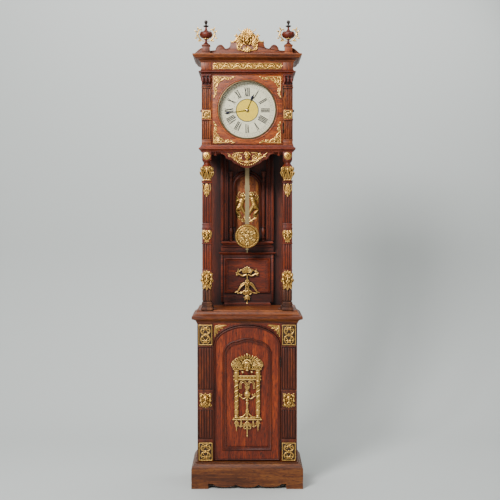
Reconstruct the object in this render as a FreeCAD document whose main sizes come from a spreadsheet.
"""A tall-case clock: plinth and cupboard base, open trunk with two columns, and a hood
that holds the dial and the movement.  Lengths are millimetres.  +Z is up, the dial faces
-Y, and the origin is on the floor at the middle of the footprint."""

import FreeCAD, Part
import math
import os

import Sketcher
from FreeCAD import Placement, Rotation, Vector

doc = FreeCAD.newDocument("TallCaseClock")
sheet = doc.addObject("Spreadsheet::Sheet", "Sizes")
nodes = []

driving = {
    # widths and depths of the case
    "plinthWidth": 588, "caseDepth": 350, "baseWidth": 526, "upperWidth": 476,
    "bodyInset": 40, "boardThickness": 25, "backboardThickness": 18, "doorGap": 2,
    # heights, from the floor up
    "plinthHeight": 98, "plinthMoulding": 39, "baseHeight": 733, "baseTopHeight": 70,
    "trunkHeight": 831, "hoodFloorHeight": 35, "hoodHeight": 369, "ceilingHeight": 22,
    "friezeHeight": 38, "corniceHeight": 42,
    # plinth scallops
    "footWidth": 89, "scallopRise": 27, "sideLobe": 60, "sideLobeDrop": 17,
    "sideLobeOffset": 118, "middleLobe": 59, "middleLobeDrop": 18.5,
    # base cupboard
    "stileWidth": 86, "archRise": 106, "archHead": 10, "baseDoorThickness": 22, "doorSetback": 2,
    "panelWidth": 242, "panelHead": 77, "panelFoot": 66, "panelRecess": 6,
    "ornamentWidth": 174, "ornamentFoot": 128, "ornamentHeight": 447, "ornamentThickness": 14,
    "mountWidth": 73, "mountThickness": 6, "topMountHeight": 111, "topMountDrop": 5,
    "maskMountHeight": 95, "maskMountFoot": 279, "footMountHeight": 101, "footMountRise": 2,
    # moulded slabs
    "baseTopOutset": 29, "topEdgeRise": 30, "hoodFloorOutset": 16,
    "ceilingOutset": 16, "corniceOutset": 46, "corniceEdge": 8, "mouldingStep": 3,
    # trunk columns
    "columnSide": 48, "columnOutset": 2, "columnFootHeight": 43, "columnFootSide": 62,
    "maskHeight": 106, "maskFoot": 105, "capitalHeight": 67,
    "capitalDrop": 147, "pendantHeight": 74, "pendantDrop": 236, "columnMountThickness": 8,
    # trunk back
    "nicheFrameWidth": 290, "nicheFrameThickness": 25, "nicheWidth": 130, "nicheFoot": 356,
    "nicheSpringDrop": 180, "reliefWidth": 112, "reliefHeight": 177, "reliefDrop": 195,
    "reliefThickness": 10, "nicheColumnOffset": 88, "nicheColumnSide": 26,
    "nicheColumnDrop": 99, "lowerCorniceFoot": 280, "lowerCorniceHeight": 15,
    "lowerCorniceWidth": 306, "railHeight": 39, "sillWidth": 262,
    "sillReach": 22, "footMouldingHeight": 18, "footMouldingWidth": 274,
    "fieldWidth": 224, "fieldFoot": 82, "fieldHeight": 166, "fieldRecess": 5,
    "lowerOrnamentWidth": 128, "lowerOrnamentFoot": 90, "lowerOrnamentHeight": 134,
    "lowerOrnamentThickness": 10,
    # hood
    "pilasterWidth": 50, "pilasterThickness": 35, "hoodSideThickness": 18,
    "sideDoorFront": 57, "sideDoorWidth": 206, "sideDoorMargin": 26, "sideDoorThickness": 14,
    "slotWidth": 130, "slotDepth": 90,
    "apronWidth": 278, "apronDrop": 30, "apronLobeWidth": 124, "apronLobeDrop": 64,
    "apronTipDrop": 83, "apronTipWidth": 50, "apronThickness": 18, "apronSetback": 5,
    "dropOffset": 166, "dropRadius": 8, "dropLength": 22,
    "rosetteSide": 46, "rosetteFoot": 136, "stripWidth": 356, "stripHeight": 32,
    "hoodDoorThickness": 18, "sightRadius": 150, "bezelInner": 145, "bezelOuter": 156,
    "bezelThickness": 5, "spandrelSide": 117, "spandrelGap": 6, "spandrelThickness": 4,
    "glassThickness": 3, "glassSetback": 6, "dialHeight": 183.5, "dialRadius": 158,
    "dialThickness": 2.5, "dialSetback": 29,
    # crest
    "crestThickness": 20, "crestSetback": 20, "cartoucheWidth": 130, "cartoucheHeight": 131,
    "cartoucheFoot": 14, "cartoucheThickness": 14, "finialInset": 24, "finialPedestal": 46,
    "finialPedestalHeight": 36, "finialStem": 12, "finialStemTop": 77, "finialBowl": 34,
    "finialBowlTop": 118, "finialNeck": 8, "finialFlower": 15, "finialFlowerFoot": 142,
    "finialBall": 9, "finialTop": 175, "handleRing": 19, "handleWire": 3.5, "handleRise": 102,
    "handleOffset": 37,
    # hinges and catches
    "pinRadius": 1.6, "knuckleRadius": 3, "knuckleLength": 18, "knucklePlay": 0.3,
    "runningPlay": 0.05, "leafThickness": 0.7, "leafDepth": 20, "hingeInset": 60,
    "knobRadius": 6, "knobStem": 3, "knobReach": 4, "knobLength": 8, "knobInset": 13,
    # movement
    "plateWidth": 172, "plateThickness": 3, "plateFoot": 89, "plateHeight": 212,
    "frontPlateSetback": 65, "plateSpacing": 55, "pillarRadius": 5, "pillarInset": 12,
    "wheelSlotWidth": 84, "wheelSlotDepth": 12, "seatLead": 20,
    "seatThickness": 15, "seatDepth": 95, "cheekThickness": 18, "dialFootRadius": 3,
    "dialFootInset": 9, "arborRadius": 2.5, "pivotRadius": 1.5, "bigPivotRadius": 2.5,
    "pipeWall": 1.8, "studRadius": 2, "endShake": 0.3,
    "windingAcross": 62.35, "windingBelow": 36, "windingRadius": 3.5, "windingHole": 4.5,
    "ratchetRadius": 13, "barrelRadius": 30, "barrelLength": 34,
    "greatTeeth": 96, "strikeTeeth": 84, "leaves": 8, "centreTeeth": 72, "thirdTeeth": 77,
    "escapeLeaves": 10, "escapeTeeth": 30, "motionTeeth": 40, "hourTeeth": 96,
    "pinTeeth": 64, "centreModule": 0.9, "thirdModule": 0.8, "motionModule": 0.9,
    "greatLevel": 3, "centreLevel": 13, "thirdLevel": 23, "escapeLevel": 35, "anchorLevel": 33.5,
    "cannonSetback": 6, "ratchetTeeth": 24, "bellDepth": 25, "wheelThickness": 2.5, "pinionLength": 7, "escapeRadius": 17, "escapeDrop": 24,
    "pendulumRise": 80.5, "pinWheelAcross": 50, "pinWheelRise": 22.5, "pinRadiusOut": 19,
    "liftPins": 8, "anchorThickness": 6, "crutchLength": 80, "crutchWidth": 5,
    "hammerAcross": 60, "hammerRise": 96, "hammerArm": 46, "hammerHead": 6, "hammerTail": 45,
    "hammerLevel": 30, "hammerReach": 13,
    "bellRadius": 38, "bellWall": 2.5, "bellRise": 132, "bellHeight": 26, "bellAcross": 0,
    "bellPost": 3,
    # hands and pendulum
    "shownMinutes": 43.7, "minuteReach": 122, "hourReach": 92, "handWidth": 5,
    "handThickness": 1, "bossRadius": 9, "hourHandDepth": 3, "handGap": 2.5,
    "pendulumPlane": 29, "pendulumLength": 745, "rodWidth": 22, "rodThickness": 4,
    "rodTop": 14, "collarRadius": 13, "collarRise": 245, "collarHeight": 30,
    "bobRadius": 65, "bobThickness": 24, "bobRim": 6, "screwRadius": 2.5, "screwLength": 26,
    "nutRadius": 9, "nutHeight": 9, "nutGap": 0.3, "springWidth": 8, "springThickness": 0.4,
    "cockWidth": 26, "cockHeight": 14, "cockGap": 5,
}

toothDepth = {"addendum": 0.60, "dedendum": 1.15, "share": 0.40, "pressureAngle": 20}
crestSpan = 284
crestOutline = ((284, 1), (268, 15), (253, 28), (238, 36), (193, 23), (166, 25), (156, 46),
                (141, 54), (124, 46), (107, 33), (85, 50), (86.5, 79), (60, 70), (54, 102),
                (34, 122), (0, 129))


class Size:
    """A length with its value and the text that binds it to the sheet."""

    def __init__(self, text, value):
        self.text, self.value = text, value

    def joined(self, sign, other, value):
        return Size(f"({self.text} {sign} {other.text})", value)

    def __add__(self, other):
        other = sized(other)
        return self.joined("+", other, self.value + other.value)

    def __sub__(self, other):
        other = sized(other)
        return self.joined("-", other, self.value - other.value)

    def __mul__(self, other):
        other = sized(other)
        return self.joined("*", other, self.value * other.value)

    def __truediv__(self, other):
        other = sized(other)
        return self.joined("/", other, self.value / other.value)

    def __neg__(self):
        return Size(f"(0 - {self.text})", -self.value)

    def root(self):
        return Size(f"sqrt({self.text})", math.sqrt(self.value))


def sized(value):
    return value if isinstance(value, Size) else Size(repr(float(value)), float(value))


class Cells:
    """The sheet's named cells, each read as an attribute."""


cells = Cells()
for row, (name, value) in enumerate(driving.items(), start=1):
    sheet.set(f"A{row}", name)
    sheet.set(f"B{row}", str(value))
    sheet.setAlias(f"B{row}", name)
doc.recompute()
for name in driving:
    setattr(cells, name, Size(f"Sizes.{name}", float(sheet.get(name))))


def bind(thing, **sizes):
    for name, size in sizes.items():
        thing.setExpression(name, sized(size).text)
    return thing


def place(thing, x=0, y=0, z=0, turn=None):
    if turn:
        thing.Placement = Placement(Vector(), turn)
    for axis, size in zip("xyz", (x, y, z)):
        thing.setExpression(f"Placement.Base.{axis}", sized(size).text)
    return thing


def box(x, y, z):
    """A block between the two ends given along each axis."""
    thing = doc.addObject("Part::Box", "Block")
    x, y, z = ([sized(end) for end in pair] for pair in (x, y, z))
    bind(thing, Length=x[1] - x[0], Width=y[1] - y[0], Height=z[1] - z[0])
    return place(thing, x[0], y[0], z[0])


def rod(radius, length, x, y, z, axis="y"):
    thing = doc.addObject("Part::Cylinder", "Rod")
    bind(thing, Radius=radius, Height=length)
    turns = {"x": Rotation(Vector(0, 1, 0), 90), "y": Rotation(Vector(1, 0, 0), -90), "z": None}
    return place(thing, x, y, z, turns[axis])


def oval(across, rise, y, x=0, z=0):
    """An elliptical block with its flat faces at the two y ends."""
    edge = doc.addObject("Part::Ellipse", "Edge")
    swap = across.value < rise.value
    bind(edge, MajorRadius=rise if swap else across, MinorRadius=across if swap else rise)
    turn = Rotation(Vector(1, 0, 0), 90)
    if swap:
        turn = turn.multiply(Rotation(Vector(0, 0, 1), 90))
    place(edge, x, y[0], z, turn)
    block = doc.addObject("Part::Extrusion", "Oval")
    block.Base = edge
    block.DirMode = "Custom"
    block.Dir = Vector(0, 1, 0)
    block.Solid = True
    return bind(block, LengthFwd=sized(y[1]) - y[0])


def outlined(body, plane, corners):
    """A closed sketch through the corners, each held to the sketch's two axes."""
    sketch = body.newObject("Sketcher::SketchObject", "Outline")
    origin = [part for part in body.Origin.OriginFeatures if part.Role == plane]
    sketch.AttachmentSupport = [(origin[0], "")]
    sketch.MapMode = "FlatFace"
    corners = [(sized(u), sized(v)) for u, v in corners]
    points = [Vector(u.value, v.value, 0) for u, v in corners]
    for start, end in zip(points, points[1:] + points[:1]):
        sketch.addGeometry(Part.LineSegment(start, end))
    for index in range(len(points)):
        after = (index + 1) % len(points)
        sketch.addConstraint(Sketcher.Constraint("Coincident", index, 2, after, 1))
    for index, corner in enumerate(corners):
        for kind, line, size in zip(("DistanceX", "DistanceY"), (-2, -1), corner):
            if abs(size.value) < 1e-9:
                sketch.addConstraint(Sketcher.Constraint("PointOnObject", index, 1, line))
                continue
            held = Sketcher.Constraint(kind, -1, 1, index, 1, size.value)
            sketch.setExpression(f"Constraints[{sketch.addConstraint(held)}]", size.text)
    return sketch


def prism(corners, start, end, axis="y"):
    """The outline pushed from start to end: (x, z) corners along y, or (y, z) along x."""
    body = doc.addObject("PartDesign::Body", "Prism")
    pad = body.newObject("PartDesign::Pad", "Pad")
    pad.Profile = outlined(body, "XZ_Plane" if axis == "y" else "YZ_Plane", corners)
    pad.Reversed = axis == "y"
    bind(pad, Length=sized(end) - start)
    place(body, **{axis: start})
    return body


def turned(rings, x, y, z):
    """A lathe-turned piece: (radius, height) rings about an upright line through x, y."""
    body = doc.addObject("PartDesign::Body", "Turning")
    lathe = body.newObject("PartDesign::Revolution", "Lathe")
    corners = [(0, rings[0][1]), *rings, (0, rings[-1][1])]
    sketch = outlined(body, "XZ_Plane", corners)
    lathe.Profile = sketch
    lathe.ReferenceAxis = (sketch, ["V_Axis"])
    lathe.Angle = 360
    return place(body, x, y, z)


def fuse(*things):
    if len(things) == 1:
        return things[0]
    joined = doc.addObject("Part::MultiFuse", "Joined")
    joined.Shapes = list(things)
    return joined


def cut(base, *tools):
    carved = doc.addObject("Part::Cut", "Carved")
    carved.Base, carved.Tool = base, fuse(*tools)
    return carved


def common(base, tool):
    shared = doc.addObject("Part::Common", "Shared")
    shared.Base, shared.Tool = base, tool
    return shared


def node(label, *things):
    """Names a finished piece; several things are separate solids of one node."""
    thing = things[0]
    if len(things) > 1:
        thing = doc.addObject("Part::Compound", "Group")
        thing.Links = list(things)
    thing.Label = label
    nodes.append(thing)
    return thing


def pair(low, high, side):
    """The range low to high on the right, or its mirror on the left."""
    return (low, high) if side > 0 else (-sized(high), -sized(low))


def both(half):
    return (-half, half)


def mouldedSlab(halfWidth, frontEdge, backEdge, foot, steps):
    """A slab whose front and two ends carry one profile; steps are (outset, height)."""
    faces = [(outset, foot + height) for outset, height in steps]
    ends = [(halfWidth + outset, level) for outset, level in faces]
    ends += [(-(halfWidth + outset), level) for outset, level in reversed(faces)]
    sides = [(frontEdge - outset, level) for outset, level in faces]
    sides += [(backEdge, faces[-1][1]), (backEdge, faces[0][1])]
    reach = faces[-1][0] + halfWidth
    for outset, _ in faces:
        if outset.value > (reach - halfWidth).value:
            reach = halfWidth + outset
    frontReach = frontEdge - (reach - halfWidth)
    return common(prism(ends, frontReach, backEdge), prism(sides, -reach, reach, "x"))


c = cells
back = c.caseDepth / 2
front = -back
bodyFront = front + c.bodyInset
boardBack = back - c.backboardThickness
halfBase = c.baseWidth / 2
halfUpper = c.upperWidth / 2
halfPlinth = c.plinthWidth / 2
baseFoot = c.plinthHeight + c.plinthMoulding
baseHead = baseFoot + c.baseHeight
trunkFoot = baseHead + c.baseTopHeight
trunkHead = trunkFoot + c.trunkHeight
hoodFoot = trunkHead + c.hoodFloorHeight
hoodHead = hoodFoot + c.hoodHeight
friezeFoot = hoodHead + c.ceilingHeight
friezeHead = friezeFoot + c.friezeHeight
crownTop = friezeHead + c.corniceHeight
none = sized(0)
sides = (("left", -1), ("right", 1))


# ---- plinth ---------------------------------------------------------------
def makePlinth():
    frontBack = front + c.boardThickness
    board = box(both(halfPlinth), (front, frontBack), (0, c.plinthHeight))
    cutDepth = (front - 1, frontBack + 1)
    hollow = box(both(halfPlinth - c.footWidth), cutDepth, (-1, c.scallopRise))
    lobes = [oval(c.sideLobe, c.sideLobeDrop, cutDepth, c.sideLobeOffset * side, c.scallopRise)
             for _, side in sides]
    lobes.append(oval(c.middleLobe, c.middleLobeDrop, cutDepth, 0, c.scallopRise))
    node("plinth_front", cut(board, cut(hollow, *lobes)))
    node("plinth_sides", *[box(pair(halfPlinth - c.boardThickness, halfPlinth, side),
                               (frontBack, back), (0, c.plinthHeight)) for _, side in sides])
    inset = halfPlinth - halfBase - c.mouldingStep
    steps = [(none, none), (none, c.mouldingStep * 2), (-inset, c.plinthMoulding)]
    node("base_floor", mouldedSlab(halfPlinth, front, back, c.plinthHeight, steps))


# ---- base cupboard --------------------------------------------------------
halfDoor = halfBase - c.stileWidth - c.doorGap
stileInner = halfBase - c.stileWidth
archSpring = baseHead - c.archHead - c.archRise
baseDoorFront = bodyFront + c.doorSetback
stileBack = bodyFront + c.boardThickness


def archShape(half, rise, y, foot):
    return fuse(box(both(half), y, (foot, archSpring)), oval(half, rise, y, 0, archSpring))


def makeBase():
    for name, side in sides:
        stile = pair(stileInner, halfBase, side)
        node(f"base_stile_{name}", box(stile, (bodyFront, stileBack), (baseFoot, baseHead)))
    node("base_sides", *[box(pair(halfUpper, halfBase, side), (stileBack, back),
                             (baseFoot, baseHead)) for _, side in sides])
    header = box(both(stileInner), (bodyFront, stileBack), (archSpring, baseHead))
    opening = oval(stileInner, c.archRise + c.doorGap, (bodyFront - 1, stileBack + 1),
                   0, archSpring)
    node("base_arch_header", cut(header, opening))
    steps = [(c.mouldingStep, none), (c.baseTopOutset, c.topEdgeRise),
             (none, c.baseTopHeight)]
    slab = mouldedSlab(halfBase, bodyFront + c.mouldingStep, back, baseHead, steps)
    notch = box(both(halfUpper), (boardBack, back + 1), (baseHead - 1, trunkFoot + 1))
    node("base_top", cut(slab, notch))
    node("backboard", box(both(halfUpper), (boardBack, back), (baseFoot, friezeHead)))


def makeBaseDoor():
    y = (baseDoorFront, baseDoorFront + c.baseDoorThickness)
    board = archShape(halfDoor, c.archRise, y, baseFoot + c.doorGap)
    fieldTop = archSpring + c.archRise - c.panelHead
    field = box(both(c.panelWidth / 2), (y[0] - 1, y[0] + c.panelRecess),
                (baseFoot + c.panelFoot, fieldTop))
    node("base_door", cut(board, field))
    plateBack = y[0] + c.panelRecess
    plate = box(both(c.ornamentWidth / 2), (plateBack - c.ornamentThickness, plateBack),
                (baseFoot + c.ornamentFoot, baseFoot + c.ornamentFoot + c.ornamentHeight))
    knuckles, pins = hingePair(halfDoor + c.doorGap / 2, bodyFront - c.knuckleRadius - c.knucklePlay,
                               baseFoot + c.doorGap, archSpring, 1)
    node("base_door_mounts", plate, *knuckles)
    return pins


def makeStileMounts():
    middle = halfBase - c.stileWidth / 2
    y = (bodyFront - c.mountThickness, bodyFront)
    heights = ((baseHead - c.topMountDrop - c.topMountHeight, c.topMountHeight),
               (baseFoot + c.maskMountFoot, c.maskMountHeight),
               (baseFoot + c.footMountRise, c.footMountHeight))
    plates = []
    for _, side in sides:
        x = pair(middle - c.mountWidth / 2, middle + c.mountWidth / 2, side)
        plates += [box(x, y, (foot, foot + height)) for foot, height in heights]
    node("base_stile_mounts", *plates)


# ---- hinges ---------------------------------------------------------------
def hingePair(x, y, foot, head, side, edge="x"):
    """Two butt hinges on an upright axis: knuckles and leaves for the door, pins with
    their own knuckles for the case.  The door's edge faces along x or along y."""
    knuckles, pins = [], []
    span = c.knuckleLength
    gap = c.doorGap / 2

    def leaf(low, high, toCase):
        """A thin leaf in the gap between door and case, against one or the other."""
        if edge == "x":
            start = x + gap - c.leafThickness if toCase else x - gap
            return box((start, start + c.leafThickness), (y, y + c.leafDepth), (low, high))
        start = y + gap - c.leafThickness if toCase else y - gap
        inward = (x, x + c.leafDepth) if side < 0 else (x - c.leafDepth, x)
        return box(inward, (start, start + c.leafThickness), (low, high))

    for level in (foot + c.hingeInset, head - c.hingeInset - span * 3):
        low, high = level + span + c.knucklePlay, level + span * 2 - c.knucklePlay
        bore = rod(c.pinRadius + c.runningPlay, span, x, y, level + span, "z")
        shell = rod(c.knuckleRadius, high - low, x, y, low, "z")
        knuckles.append(cut(fuse(shell, leaf(low, high, False)), bore))
        ends = []
        for step in (0, 2):
            start = level + span * step
            ends += [rod(c.knuckleRadius, span, x, y, start, "z"), leaf(start, start + span, True)]
        pins.append(fuse(rod(c.pinRadius, span * 3, x, y, level, "z"), *ends))
    return knuckles, pins


# ---- trunk ----------------------------------------------------------------
columnFront = bodyFront
columnMiddleX = halfUpper - c.columnOutset - c.columnSide / 2
columnMiddleY = columnFront + c.columnSide / 2


def squareBlock(x, y, side, low, high):
    return box((x - side / 2, x + side / 2), (y - side / 2, y + side / 2), (low, high))


def makeColumns():
    mounts = []
    for name, side in sides:
        x = columnMiddleX * side
        foot = squareBlock(x, columnMiddleY, c.columnFootSide, trunkFoot,
                           trunkFoot + c.columnFootHeight)
        shaft = squareBlock(x, columnMiddleY, c.columnSide, trunkFoot + c.columnFootHeight, trunkHead)
        node(f"column_{name}", fuse(foot, shaft))
        y = (columnFront - c.columnMountThickness, columnFront)
        across = (x - c.columnSide / 2, x + c.columnSide / 2)
        for low, height in ((c.maskFoot, c.maskHeight),
                            (c.trunkHeight - c.pendantDrop, c.pendantHeight),
                            (c.trunkHeight - c.capitalDrop, c.capitalHeight)):
            mounts.append(box(across, y, (trunkFoot + low, trunkFoot + low + height)))
    node("column_mounts", *mounts)


frameFront = boardBack - c.nicheFrameThickness


def makeTrunkBack():
    half = c.nicheFrameWidth / 2
    y = (frameFront, boardBack)
    through = (frameFront - 1, boardBack + 1)
    frame = box(both(half), y, (trunkFoot + c.nicheFoot, trunkHead))
    spring = trunkHead - c.nicheSpringDrop
    opening = fuse(box(both(c.nicheWidth / 2), through, (trunkFoot + c.nicheFoot - 1, spring)),
                   rod(c.nicheWidth / 2, c.nicheFrameThickness + 2, 0, frameFront - 1, spring))
    node("niche_frame", cut(frame, opening))
    reach = c.nicheColumnSide
    posts = []
    for _, side in sides:
        x = c.nicheColumnOffset * side
        middle = frameFront - reach / 2
        low = trunkFoot + c.nicheFoot
        top = trunkHead - c.nicheColumnDrop
        shaft = rod(reach / 2 - 2, top - low, x, middle, low, "z")
        blocks = [squareBlock(x, middle, reach, low, low + reach),
                  squareBlock(x, middle, reach, top - reach, top)]
        posts.append(fuse(shaft, *blocks))
    node("niche_columns", *posts)

    footTop = trunkFoot + c.footMouldingHeight
    corniceFoot = trunkFoot + c.lowerCorniceFoot
    railFoot = corniceFoot + c.lowerCorniceHeight
    sillFoot = railFoot + c.railHeight
    field = box(both(c.fieldWidth / 2), (frameFront - 1, frameFront + c.fieldRecess),
                (trunkFoot + c.fieldFoot, trunkFoot + c.fieldFoot + c.fieldHeight))
    panel = cut(box(both(half), y, (footTop, corniceFoot)), field)
    step = c.sillReach
    pieces = (box(both(c.footMouldingWidth / 2), (frameFront - step, boardBack), (trunkFoot, footTop)),
              box(both(c.lowerCorniceWidth / 2), (frameFront - step / 2, boardBack),
                  (corniceFoot, railFoot)),
              box(both(half), y, (railFoot, sillFoot)),
              box(both(c.sillWidth / 2), (frameFront - c.nicheColumnSide, boardBack),
                  (sillFoot, trunkFoot + c.nicheFoot)))
    node("lower_panel", fuse(panel, *pieces))

    relief = box(both(c.reliefWidth / 2), (boardBack - c.reliefThickness, boardBack),
                 (spring - c.reliefDrop, spring - c.reliefDrop + c.reliefHeight))
    behind = frameFront + c.fieldRecess
    ornament = box(both(c.lowerOrnamentWidth / 2), (behind - c.lowerOrnamentThickness, behind),
                   (trunkFoot + c.lowerOrnamentFoot,
                    trunkFoot + c.lowerOrnamentFoot + c.lowerOrnamentHeight))
    node("trunk_mounts", relief, ornament)


# ---- hood -----------------------------------------------------------------
dialZ = hoodFoot + c.dialHeight
hoodDoorHalf = halfUpper - c.pilasterWidth - c.doorGap
hoodDoorFront = bodyFront + c.doorSetback
pendulumY = bodyFront + c.frontPlateSetback + c.plateThickness * 2 + c.plateSpacing + c.pendulumPlane


def makeHoodFrame():
    steps = [(none, none), (c.hoodFloorOutset, c.hoodFloorHeight / 2), (c.mouldingStep, c.hoodFloorHeight)]
    slab = mouldedSlab(halfUpper, bodyFront, boardBack, trunkHead, steps)
    slot = box(both(c.slotWidth / 2), (pendulumY - c.slotDepth / 2, pendulumY + c.slotDepth / 2),
               (trunkHead - 1, hoodFoot + 1))
    node("hood_floor", cut(slab, slot))
    pilasterBack = bodyFront + c.pilasterThickness
    node("hood_pilasters", *[box(pair(halfUpper - c.pilasterWidth, halfUpper, side),
                                 (bodyFront, pilasterBack), (hoodFoot, hoodHead)) for _, side in sides])
    walls = []
    for _, side in sides:
        wall = pair(halfUpper - c.hoodSideThickness, halfUpper, side)
        board = box(wall, (pilasterBack, boardBack), (hoodFoot, hoodHead))
        doorway = box(pair(halfUpper - c.hoodSideThickness - 1, halfUpper + 1, side),
                      (sideDoorY[0] - c.doorGap, sideDoorY[1] + c.doorGap),
                      (sideDoorZ[0] - c.doorGap, sideDoorZ[1] + c.doorGap))
        walls.append(cut(board, doorway))
    node("hood_sides", *walls)
    steps = [(none, none), (c.ceilingOutset, c.ceilingHeight / 2), (c.mouldingStep, c.ceilingHeight)]
    node("hood_ceiling", mouldedSlab(halfUpper, bodyFront, boardBack, hoodHead, steps))
    z = (friezeFoot, friezeHead)
    rear = bodyFront + c.boardThickness
    frieze = [box(both(halfUpper), (bodyFront, rear), z)]
    frieze += [box(pair(halfUpper - c.boardThickness, halfUpper, side), (rear, boardBack), z)
               for _, side in sides]
    node("frieze", *frieze)
    rise = c.corniceHeight - c.corniceEdge
    steps = [(c.mouldingStep, none), (c.corniceOutset, rise), (c.corniceOutset, c.corniceHeight)]
    node("cornice", mouldedSlab(halfUpper, front + c.corniceOutset, back, friezeHead, steps))


def makeApron():
    y = (bodyFront + c.apronSetback, bodyFront + c.apronSetback + c.apronThickness)
    lobe = oval(c.apronLobeWidth / 2, c.apronLobeDrop, y, 0, trunkHead)
    tip = oval(c.apronTipWidth / 2, c.apronTipDrop, y, 0, trunkHead)
    wide = box(both(c.apronWidth / 2), y, (trunkHead - c.apronDrop, trunkHead))
    above = box(both(c.apronWidth / 2), (y[0] - 1, y[1] + 1),
                (trunkHead, trunkHead + c.apronTipDrop + 1))
    node("apron", cut(fuse(wide, lobe, tip), above))
    drops = [turned(((c.dropRadius, 0), (c.dropRadius, -c.dropLength / 3), (c.dropRadius / 3, -c.dropLength)),
                    c.dropOffset * side, y[0] + c.apronThickness / 2, trunkHead)
             for _, side in sides]
    mask = box(both(c.apronTipWidth / 2), (y[0] - c.mountThickness, y[0]),
               (trunkHead - c.apronTipDrop / 2, trunkHead))
    return [mask, *drops]


def makeHoodMounts(others):
    y = (bodyFront - c.mountThickness, bodyFront)
    middle = halfUpper - c.pilasterWidth / 2
    low = hoodFoot + c.rosetteFoot
    plates = [box(pair(middle - c.rosetteSide / 2, middle + c.rosetteSide / 2, side), y,
                  (low, low + c.rosetteSide)) for _, side in sides]
    stripFoot = friezeFoot + (c.friezeHeight - c.stripHeight) / 2
    plates.append(box(both(c.stripWidth / 2), y, (stripFoot, stripFoot + c.stripHeight)))
    node("hood_mounts", *plates, *others)


sideDoorY = (bodyFront + c.sideDoorFront, bodyFront + c.sideDoorFront + c.sideDoorWidth)
sideDoorZ = (hoodFoot + c.sideDoorMargin, hoodHead - c.sideDoorMargin)


def makeSideDoors():
    pins = []
    for name, side in sides:
        outer = halfUpper - c.doorSetback
        door = box(pair(outer - c.sideDoorThickness, outer, side), sideDoorY, sideDoorZ)
        node(f"side_door_{name}", door)
        axisX = (halfUpper + c.knuckleRadius + c.knucklePlay) * side
        knuckles, own = hingePair(axisX, sideDoorY[1] + c.doorGap / 2, sideDoorZ[0],
                                  sideDoorZ[1], side, "y")
        knobY = sideDoorY[0] + c.knobInset
        reaches = ((c.knobStem, outer, c.knobReach), (c.knobRadius, outer + c.knobReach, c.knobLength))
        knob = fuse(*[rod(radius, length, start if side > 0 else -start - length, knobY, dialZ, "x")
                      for radius, start, length in reaches])
        node(f"side_door_fittings_{name}", knob, *knuckles)
        pins += own
    return pins


def makeHoodDoor():
    y = (hoodDoorFront, hoodDoorFront + c.hoodDoorThickness)
    z = (hoodFoot + c.doorGap, hoodHead - c.doorGap)
    sight = rod(c.sightRadius, c.hoodDoorThickness + 2, 0, y[0] - 1, dialZ)
    node("hood_door", cut(box(both(hoodDoorHalf), y, z), sight))
    glassFront = y[0] + c.glassSetback
    node("hood_door_glass", rod(c.sightRadius, c.glassThickness, 0, glassFront, dialZ))
    bezelFront = y[0] - c.bezelThickness
    bezel = cut(rod(c.bezelOuter, c.bezelThickness, 0, bezelFront, dialZ),
                rod(c.bezelInner, c.bezelThickness + 2, 0, bezelFront - 1, dialZ))
    corners = []
    plateFront = y[0] - c.spandrelThickness
    sweep = c.bezelOuter + c.spandrelGap
    for _, side in sides:
        for low, high in ((z[0] + c.spandrelGap, z[0] + c.spandrelGap + c.spandrelSide),
                          (z[1] - c.spandrelGap - c.spandrelSide, z[1] - c.spandrelGap)):
            edge = hoodDoorHalf - c.spandrelGap
            plate = box(pair(edge - c.spandrelSide, edge, side), (plateFront, y[0]), (low, high))
            corners.append(cut(plate, rod(sweep, c.spandrelThickness + 2, 0, plateFront - 1, dialZ)))
    knuckles, pins = hingePair(hoodDoorHalf + c.doorGap / 2,
                               bodyFront - c.knuckleRadius - c.knucklePlay, z[0], z[1], 1)
    node("hood_door_mounts", bezel, *corners, *knuckles)
    return pins


# ---- crest ----------------------------------------------------------------
def makeCrest():
    y = (bodyFront + c.crestSetback, bodyFront + c.crestSetback + c.crestThickness)
    span = (halfUpper + c.corniceOutset) / crestSpan
    right = [(span * x, crownTop + z) for x, z in crestOutline]
    left = [(-x, z) for x, z in reversed(right[:-1])]
    foot = [(-right[0][0], crownTop), (right[0][0], crownTop)]
    board = prism(foot + right + left, y[0], y[1])
    node("crest_board", board)
    middle = crownTop + c.cartoucheFoot + c.cartoucheHeight / 2
    shield = oval(c.cartoucheWidth / 2, c.cartoucheHeight / 2, (y[0] - c.cartoucheThickness, y[0]),
                  0, middle)
    finials = []
    for _, side in sides:
        x = (halfUpper - c.finialInset) * side
        middleY = y[0] - c.finialPedestal / 2
        half = c.finialPedestal / 2
        block = box((x - half, x + half), (middleY - half, middleY + half),
                    (crownTop, crownTop + c.finialPedestalHeight))
        urn = turned(((c.finialPedestal / 3, c.finialPedestalHeight),
                      (c.finialStem / 2, c.finialPedestalHeight + c.finialStem),
                      (c.finialStem / 2, c.finialStemTop), (c.finialBowl, c.finialBowlTop),
                      (c.finialNeck, c.finialBowlTop + c.finialStem / 2),
                      (c.finialNeck, c.finialFlowerFoot), (c.finialFlower, c.finialFlowerFoot),
                      (c.finialFlower, c.finialFlowerFoot + 4),
                      (c.finialBall / 2, c.finialTop - c.finialBall * 2),
                      (c.finialBall, c.finialTop - c.finialBall), (c.finialBall / 2, c.finialTop)),
                     x, middleY, crownTop)
        rings = []
        for way in (-1, 1):
            ring = doc.addObject("Part::Torus", "Handle")
            bind(ring, Radius1=c.handleRing, Radius2=c.handleWire)
            rings.append(place(ring, x + c.handleOffset * way, middleY, crownTop + c.handleRise,
                               Rotation(Vector(1, 0, 0), 90)))
        finials.append(fuse(block, urn, *rings))
    node("finials", *finials)
    return [shield]


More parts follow.
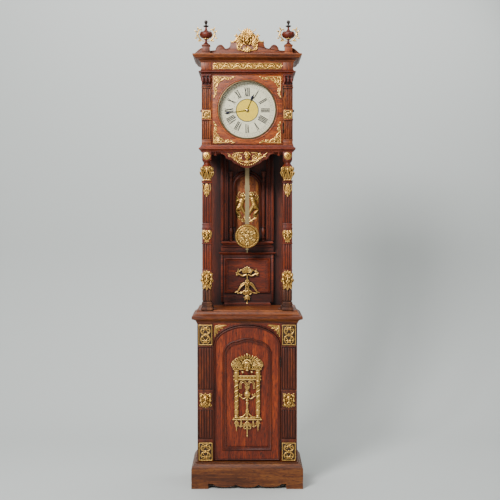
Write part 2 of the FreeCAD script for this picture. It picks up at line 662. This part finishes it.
# ---- toothed wheels -------------------------------------------------------
def toothedDisc(teeth, module, length, phase=0.0):
    """A disc in the x-z plane with involute teeth, one of them centred on the phase angle."""
    teeth = int(round(teeth))
    pitch = teeth * module / 2
    tip = pitch + toothDepth["addendum"] * module
    rootRadius = pitch - toothDepth["dedendum"] * module
    angle = math.radians(toothDepth["pressureAngle"])
    base = pitch * math.cos(angle)
    start = max(base, rootRadius)

    def halfWidth(radius):
        slope = math.acos(min(1.0, base / max(radius, base)))
        spread = math.tan(angle) - angle - math.tan(slope) + slope
        return toothDepth["share"] * math.pi / teeth + spread

    radii = sorted({rootRadius, start, (start + tip) / 2, tip})
    corners = []
    for tooth in range(teeth):
        middle = phase + tooth * 2 * math.pi / teeth
        flank = [(radius, halfWidth(radius)) for radius in radii]
        corners += [polar(radius, middle - half) for radius, half in flank]
        corners += [polar(radius, middle + half) for radius, half in reversed(flank)]
    return discFrom(corners, length)


def polar(radius, angle):
    return Vector(radius * math.cos(angle), 0, radius * math.sin(angle))


def discFrom(corners, length):
    return Part.Face(Part.makePolygon(corners + corners[:1])).extrude(Vector(0, length, 0))


def meshPhase(phase, teeth, otherTeeth, direction):
    """The phase of a wheel that meshes with one of the given phase, along a direction."""
    lead = phase - direction
    return direction + math.pi - lead * teeth / otherTeeth + math.pi / otherTeeth


def bar(radius, start, end):
    return Part.makeCylinder(radius, end - start, Vector(0, start, 0), Vector(0, 1, 0))


def solidFeature(shape, x, z):
    """A piece whose shape is made by hand from sheet values, then put in its place."""
    thing = doc.addObject("Part::Feature", "Piece")
    thing.Shape = shape.removeSplitter()
    thing.Placement = Placement(Vector(x.value, 0, z.value), Rotation())
    return thing


plateFront = bodyFront + c.frontPlateSetback
plateInner = plateFront + c.plateThickness
rearInner = plateInner + c.plateSpacing
rearOuter = rearInner + c.plateThickness
pivotZ = dialZ + c.pendulumRise
escapeZ = pivotZ - c.escapeDrop
barrelZ = dialZ - c.windingBelow
barrelReach = (c.windingAcross * c.windingAcross + c.windingBelow * c.windingBelow).root()
greatModule = barrelReach * 2 / (c.greatTeeth + c.leaves)
centreReach = c.centreModule * (c.centreTeeth + c.leaves) / 2
thirdReach = c.thirdModule * (c.thirdTeeth + c.escapeLeaves) / 2
escapeRise = escapeZ - dialZ
thirdRise = (centreReach * centreReach - thirdReach * thirdReach + escapeRise * escapeRise) / (escapeRise * 2)
thirdAcross = (centreReach * centreReach - thirdRise * thirdRise).root()
thirdZ = dialZ + thirdRise
pinWheelZ = dialZ + c.pinWheelRise
strikeAcross = c.windingAcross - c.pinWheelAcross
strikeRise = c.windingBelow + c.pinWheelRise
strikeReach = (strikeAcross * strikeAcross + strikeRise * strikeRise).root()
strikeModule = strikeReach * 2 / (c.strikeTeeth + c.leaves)
motionReach = c.motionModule * c.motionTeeth
hourModule = motionReach * 2 / (c.hourTeeth + c.leaves)
motionDiagonal = motionReach / math.sqrt(2)
hammerZ = dialZ + c.hammerRise
holes = {"small": [(thirdAcross, thirdZ), (none, escapeZ), (-c.pinWheelAcross, pinWheelZ),
                   (-c.hammerAcross, hammerZ)]}


def direction(fromX, fromZ, toX, toZ):
    return math.atan2((toZ - fromZ).value, (toX - fromX).value)


def arborBar(pivot):
    low, high = plateInner.value + c.endShake.value, rearInner.value - c.endShake.value
    inner = bar(c.arborRadius.value, low, high)
    return inner.fuse(bar(pivot, plateFront.value, rearOuter.value))


def wheelAt(teeth, module, phase, level, thickness):
    disc = toothedDisc(teeth.value, module.value, thickness.value, phase)
    disc.translate(Vector(0, level, 0))
    return disc


def makeTrain():
    inner = plateInner.value
    firstLevel, centreLevel = inner + c.greatLevel.value, inner + c.centreLevel.value
    thirdLevel, escapeLevel = inner + c.thirdLevel.value, inner + c.escapeLevel.value
    toward = {
        "great": direction(c.windingAcross, barrelZ, none, dialZ),
        "third": direction(none, dialZ, thirdAcross, thirdZ),
        "escape": direction(thirdAcross, thirdZ, none, escapeZ),
        "pin": direction(-c.windingAcross, barrelZ, -c.pinWheelAcross, pinWheelZ),
        "motion": math.pi / 4,
    }
    pivot = c.pivotRadius.value
    thick, leafLong = c.wheelThickness, c.pinionLength
    leafStart = -(leafLong.value - thick.value) / 2

    def barrel(label, x, teeth, module):
        foot = firstLevel + thick.value
        drum = bar(c.barrelRadius.value, foot, foot + c.barrelLength.value)
        whole = wheelAt(teeth, module, 0.0, firstLevel, thick).fuse(drum)
        bore = bar(c.windingRadius.value + c.runningPlay.value, inner, rearInner.value)
        node(label, solidFeature(whole.cut(bore), x, barrelZ))

    barrel("going_barrel", c.windingAcross, c.greatTeeth, greatModule)
    barrel("strike_barrel", -c.windingAcross, c.strikeTeeth, strikeModule)
    for name, side in sides:
        shaft = bar(c.windingRadius.value, plateFront.value - c.dialSetback.value - 5, rearOuter.value)
        ratchet = ratchetDisc(c.ratchetRadius.value, int(c.ratchetTeeth.value), 2.0)
        ratchet.translate(Vector(0, plateFront.value - 4, 0))
        node(f"winding_arbor_{name}", solidFeature(shaft.fuse(ratchet), c.windingAcross * side, barrelZ))

    centrePhase = meshPhase(0.0, c.greatTeeth.value, c.leaves.value, toward["great"])
    centre = arborBar(c.bigPivotRadius.value)
    centre = centre.fuse(wheelAt(c.leaves, greatModule, centrePhase, firstLevel + leafStart, leafLong))
    centre = centre.fuse(wheelAt(c.centreTeeth, c.centreModule, toward["third"], centreLevel, thick))
    centre = centre.fuse(bar(c.bigPivotRadius.value, minuteHandY.value, plateFront.value))
    cannonLevel = (plateFront - c.cannonSetback).value
    centre = centre.fuse(wheelAt(c.motionTeeth, c.motionModule, toward["motion"], cannonLevel, thick))
    node("centre_arbor", solidFeature(centre, none, dialZ))

    third = arborBar(pivot)
    phase = meshPhase(toward["third"], c.centreTeeth.value, c.leaves.value, toward["third"])
    third = third.fuse(wheelAt(c.leaves, c.centreModule, phase, centreLevel + leafStart, leafLong))
    third = third.fuse(wheelAt(c.thirdTeeth, c.thirdModule, toward["escape"], thirdLevel, thick))
    node("third_wheel", solidFeature(third, thirdAcross, thirdZ))

    escape = arborBar(pivot)
    phase = meshPhase(toward["escape"], c.thirdTeeth.value, c.escapeLeaves.value, toward["escape"])
    escape = escape.fuse(wheelAt(c.escapeLeaves, c.thirdModule, phase, thirdLevel + leafStart, leafLong))
    points = ratchetDisc(c.escapeRadius.value, int(c.escapeTeeth.value), thick.value, 3.0)
    points.translate(Vector(0, escapeLevel, 0))
    node("escape_wheel", solidFeature(escape.fuse(points), none, escapeZ))

    pins = arborBar(pivot)
    phase = meshPhase(0.0, c.strikeTeeth.value, c.leaves.value, toward["pin"])
    pins = pins.fuse(wheelAt(c.leaves, strikeModule, phase, firstLevel + leafStart, leafLong))
    pins = pins.fuse(wheelAt(c.pinTeeth, c.thirdModule, 0.0, thirdLevel, thick))
    for step in range(int(c.liftPins.value)):
        spot = polar(c.pinRadiusOut.value, step * 2 * math.pi / c.liftPins.value)
        pins = pins.fuse(Part.makeCylinder(1, 6, spot + Vector(0, thirdLevel, 0), Vector(0, 1, 0)))
    node("pin_wheel", solidFeature(pins, -c.pinWheelAcross, pinWheelZ))

    stack = wheelAt(c.motionTeeth, c.motionModule,
                    meshPhase(toward["motion"], c.motionTeeth.value, c.motionTeeth.value, toward["motion"]),
                    cannonLevel, thick)
    backTo = toward["motion"] + math.pi
    hourLevel = cannonLevel - thick.value - 2
    stack = stack.fuse(wheelAt(c.leaves, hourModule, backTo, hourLevel - 1, thick + 3))
    stack = stack.cut(bar(c.studRadius.value + c.runningPlay.value, hourLevel - 5, plateFront.value))
    node("minute_wheel", solidFeature(stack, motionDiagonal, dialZ + motionDiagonal))

    wall = c.bigPivotRadius.value + c.runningPlay.value + c.pipeWall.value
    phase = meshPhase(backTo, c.leaves.value, c.hourTeeth.value, backTo)
    hour = wheelAt(c.hourTeeth, hourModule, phase, hourLevel, thick)
    hour = hour.fuse(bar(wall, hourHandY.value, hourLevel + thick.value))
    hour = hour.cut(bar(c.bigPivotRadius.value + c.runningPlay.value, hourHandY.value - 1, cannonLevel))
    node("hour_wheel", solidFeature(hour, none, dialZ))


def ratchetDisc(radius, teeth, length, depth=2.0):
    corners = []
    for tooth in range(teeth):
        angle = tooth * 2 * math.pi / teeth
        corners += [polar(radius, angle), polar(radius - depth, angle + 0.2 * math.pi / teeth)]
    return discFrom(corners, length)


# ---- dial and hands -------------------------------------------------------
dialFront = hoodDoorFront + c.dialSetback
dialBack = dialFront + c.dialThickness
hourHandY = dialFront - c.hourHandDepth
minuteHandY = hourHandY - c.handGap


def makeDial():
    face = rod(c.dialRadius, c.dialThickness, 0, dialFront, dialZ)
    centreHole = rod(c.bigPivotRadius + c.pipeWall + 1, c.dialThickness + 2, 0, dialFront - 1, dialZ)
    keyHoles = [rod(c.windingHole, c.dialThickness + 2, c.windingAcross * side, dialFront - 1, barrelZ)
                for _, side in sides]
    length = plateFront - dialBack
    feet = [rod(c.dialFootRadius, length, x, dialBack, z) for x, z in plateCorners(c.dialFootInset)]
    node("dial", fuse(cut(face, centreHole, *keyHoles), *feet))


def plateCorners(inset):
    across = c.plateWidth / 2 - inset
    low, high = hoodFoot + c.plateFoot + inset, hoodFoot + c.plateFoot + c.plateHeight - inset
    return [(across * side, z) for _, side in sides for z in (low, high)]


def makeHands():
    degrees = {"minute": c.shownMinutes.value * 6, "hour": c.shownMinutes.value / 2}
    for name, reach, y in (("minute", c.minuteReach, minuteHandY), ("hour", c.hourReach, hourHandY)):
        blade = box(both(c.handWidth / 2), (0, c.handThickness), (0, reach))
        boss = rod(c.bossRadius, c.handThickness, 0, 0, 0)
        hand = fuse(blade, boss)
        if name == "hour":
            hand = cut(hand, rod(c.bigPivotRadius + c.runningPlay, c.handThickness + 2, 0, -1, 0))
        turn = Rotation(Vector(0, 1, 0), degrees[name])
        hand.Placement = Placement(Vector(), turn)
        place(hand, 0, y - c.handThickness, dialZ, turn)
        node(f"{name}_hand", hand)


# ---- movement frame -------------------------------------------------------
def makeMovement():
    x = both(c.plateWidth / 2)
    z = (hoodFoot + c.plateFoot, hoodFoot + c.plateFoot + c.plateHeight)

    def drilled(y, big, centre, anchor):
        length = c.plateThickness + 2
        spots = [(ax, az, c.pivotRadius) for ax, az in holes["small"]]
        spots += [(c.windingAcross * side, barrelZ, c.windingRadius) for _, side in sides]
        spots += [(none, dialZ, centre), (none, pivotZ, anchor)]
        bores = [rod(radius + c.runningPlay, length, ax, y[0] - 1, az) for ax, az, radius in spots]
        return cut(box(x, y, z), *bores)

    plate = drilled((plateFront, plateInner), c.windingRadius, c.bigPivotRadius, c.pivotRadius)
    stud = rod(c.studRadius, 14, motionDiagonal, plateFront - 14, dialZ + motionDiagonal)
    node("front_plate", fuse(plate, stud))
    rear = drilled((rearInner, rearOuter), c.windingRadius, c.bigPivotRadius, c.bigPivotRadius)
    low, high = z[0] + c.pillarInset, z[1] - c.pillarInset
    wide = c.plateWidth / 2 - c.pillarInset
    spots = [(none, low), *((wide * side, high) for _, side in sides)]
    pillars = [rod(c.pillarRadius, c.plateSpacing, px, plateInner, pz) for px, pz in spots]
    node("back_plate", fuse(rear, *pillars))
    seatTop = z[0]
    seatFront = plateFront - c.seatLead
    seatBack = seatFront + c.seatDepth
    inside = halfUpper - c.hoodSideThickness
    seat = box(both(inside), (seatFront, seatBack), (seatTop - c.seatThickness, seatTop))
    wheelY = plateInner + c.greatLevel + c.wheelThickness / 2
    wheelSlots = [box((c.windingAcross * side - c.wheelSlotWidth / 2, c.windingAcross * side + c.wheelSlotWidth / 2),
                      (wheelY - c.wheelSlotDepth / 2, wheelY + c.wheelSlotDepth / 2),
                      (seatTop - c.seatThickness - 1, seatTop + 1)) for _, side in sides]
    seat = cut(seat, *wheelSlots)
    cheeks = [box(pair(inside - c.cheekThickness, inside, side), (seatFront, seatBack),
                  (hoodFoot, seatTop - c.seatThickness)) for _, side in sides]
    node("seatboard", fuse(seat, *cheeks))
    cockFoot = pivotZ + c.cockGap
    cock = box(both(c.cockWidth / 2), (rearOuter, pendulumY + c.rodThickness * 2),
               (cockFoot, cockFoot + c.cockHeight))
    node("suspension_cock", cock)


def makeStrike():
    arbor = arborBar(c.pivotRadius.value)
    armY = plateInner.value + c.hammerLevel.value
    arm = Part.makeBox(3, 4, c.hammerArm.value, Vector(-1.5, armY, 0))
    tail = Part.makeBox(3, 4, c.hammerTail.value, Vector(-1.5, armY, -c.hammerTail.value))
    head = Part.makeCylinder(c.hammerHead.value, c.hammerReach.value + 5,
                             Vector(-5, armY + 2, c.hammerArm.value), Vector(1, 0, 0))
    node("hammer", solidFeature(arbor.fuse([arm, tail, head]), -c.hammerAcross, hammerZ))


def makeBell():
    middleY = plateInner + c.bellDepth
    foot = dialZ + c.bellRise
    rise = c.bellHeight
    outer = turned(((c.bellRadius, 0), (c.bellRadius * 0.72, rise * 0.7), (c.bellPost, rise)),
                   -c.bellAcross, middleY, foot)
    inner = turned(((c.bellRadius - c.bellWall, -1),
                    (c.bellRadius * 0.72 - c.bellWall, rise * 0.7 - c.bellWall),
                    (c.bellPost, rise - c.bellWall)), -c.bellAcross, middleY, foot)
    plateTop = hoodFoot + c.plateFoot + c.plateHeight
    post = rod(c.bellPost, foot + rise - plateTop, -c.bellAcross, middleY, plateTop, "z")
    bridge = box((-c.bellAcross - c.bellPost * 2, -c.bellAcross + c.bellPost * 2), (plateFront, rearOuter),
                 (plateTop, plateTop + c.bellPost))
    node("bell", fuse(cut(outer, inner), post, bridge))


# ---- escapement and pendulum ----------------------------------------------
def makePendulum():
    shake = c.endShake.value
    arbor = bar(c.arborRadius.value, plateInner.value + shake, rearInner.value - shake)
    arbor = arbor.fuse(bar(c.pivotRadius.value, plateFront.value, plateInner.value + 1))
    crutchY = rearOuter.value + 4
    arbor = arbor.fuse(bar(c.bigPivotRadius.value, rearInner.value - 1, crutchY + 3))
    drop, radius = c.escapeDrop.value, c.escapeRadius.value
    tipX, tipZ = 0.92 * radius, -drop + 0.66 * radius
    corners = [(-4, 4), (4, 4), (tipX + 3, tipZ + 3), (tipX + 1.5, tipZ - 1), (tipX, tipZ), (3, -3)]
    corners += [(-x, z) for x, z in reversed(corners[2:])]
    anchor = discFrom([Vector(x, 0, z) for x, z in corners], c.anchorThickness.value)
    anchor.translate(Vector(0, (plateInner + c.anchorLevel).value, 0))
    width = c.crutchWidth.value
    crutch = Part.makeBox(width, 3, c.crutchLength.value, Vector(-width / 2, crutchY, -c.crutchLength.value))
    half = c.rodWidth.value / 2 + 1.5
    bridge = Part.makeBox(half * 2 + 4, 3, 4, Vector(-half - 2, crutchY, -c.crutchLength.value))
    prongs = [Part.makeBox(2, pendulumY.value + 5 - crutchY, 4, Vector(x, crutchY, -c.crutchLength.value))
              for x in (-half - 2, half)]
    node("anchor", solidFeature(arbor.fuse([anchor, crutch, bridge, *prongs]), none, pivotZ))

    half = c.rodThickness / 2
    y = (pendulumY - half, pendulumY + half)
    bobZ = pivotZ - c.pendulumLength
    strap = box(both(c.rodWidth / 2), y, (bobZ, pivotZ - c.rodTop))
    spring = box(both(c.springWidth / 2), both(c.springThickness / 2),
                 (pivotZ - c.rodTop, pivotZ + c.cockGap - 1))
    place(spring, -c.springWidth / 2, pendulumY - c.springThickness / 2, pivotZ - c.rodTop)
    collar = box(both(c.collarRadius), (pendulumY - half - 2, pendulumY + half + 2),
                 (bobZ + c.collarRise, bobZ + c.collarRise + c.collarHeight))
    screw = rod(c.screwRadius, c.screwLength + c.bobRadius, 0, pendulumY, bobZ - c.bobRadius - c.screwLength, "z")
    node("pendulum_rod", fuse(strap, spring, collar, screw))
    rim = c.bobRim / 2
    face = c.bobThickness / 2
    lens = [(none, -face), (c.bobRadius * 0.6, -face + 2), (c.bobRadius, -rim),
            (c.bobRadius, rim), (c.bobRadius * 0.6, face - 2), (none, face)]
    body = doc.addObject("PartDesign::Body", "Turning")
    lathe = body.newObject("PartDesign::Revolution", "Lathe")
    sketch = outlined(body, "XZ_Plane", lens)
    lathe.Profile = sketch
    lathe.ReferenceAxis = (sketch, ["V_Axis"])
    lathe.Angle = 360
    place(body, 0, pendulumY, bobZ, Rotation(Vector(1, 0, 0), 90))
    slot = box(both(c.rodWidth / 2), y, (bobZ, bobZ + c.bobRadius + 1))
    hole = rod(c.screwRadius, c.bobRadius + 1, 0, pendulumY, bobZ - c.bobRadius - 1, "z")
    node("pendulum_bob", cut(body, slot, hole))
    nutTop = bobZ - c.bobRadius - c.nutGap
    nut = cut(rod(c.nutRadius, c.nutHeight, 0, pendulumY, nutTop - c.nutHeight, "z"),
              rod(c.screwRadius + c.runningPlay, c.nutHeight + 2, 0, pendulumY, nutTop - c.nutHeight - 1, "z"))
    node("rating_nut", nut)


makePlinth()
makeBase()
pins = makeBaseDoor()
makeStileMounts()
makeColumns()
makeTrunkBack()
makeHoodFrame()
makeHoodMounts([*makeApron(), *makeCrest()])
pins += makeSideDoors()
pins += makeHoodDoor()
node("hinge_pins", *pins)
makeDial()
makeHands()
makeTrain()
makeMovement()
makeStrike()
makeBell()
makePendulum()

doc.recompute()
faults = [thing.Label for thing in doc.Objects if {"Invalid", "Error"} & set(thing.State)]
faults += [thing.Label for thing in nodes if thing.Shape.isNull() or not thing.Shape.isValid()]
if faults:
    raise SystemExit("these did not build: " + ", ".join(sorted(set(faults))))
os.makedirs("parts", exist_ok=True)
for thing in nodes:
    thing.Shape.exportStep(f"parts/{thing.Label}.step")
print(len(nodes), "nodes written")
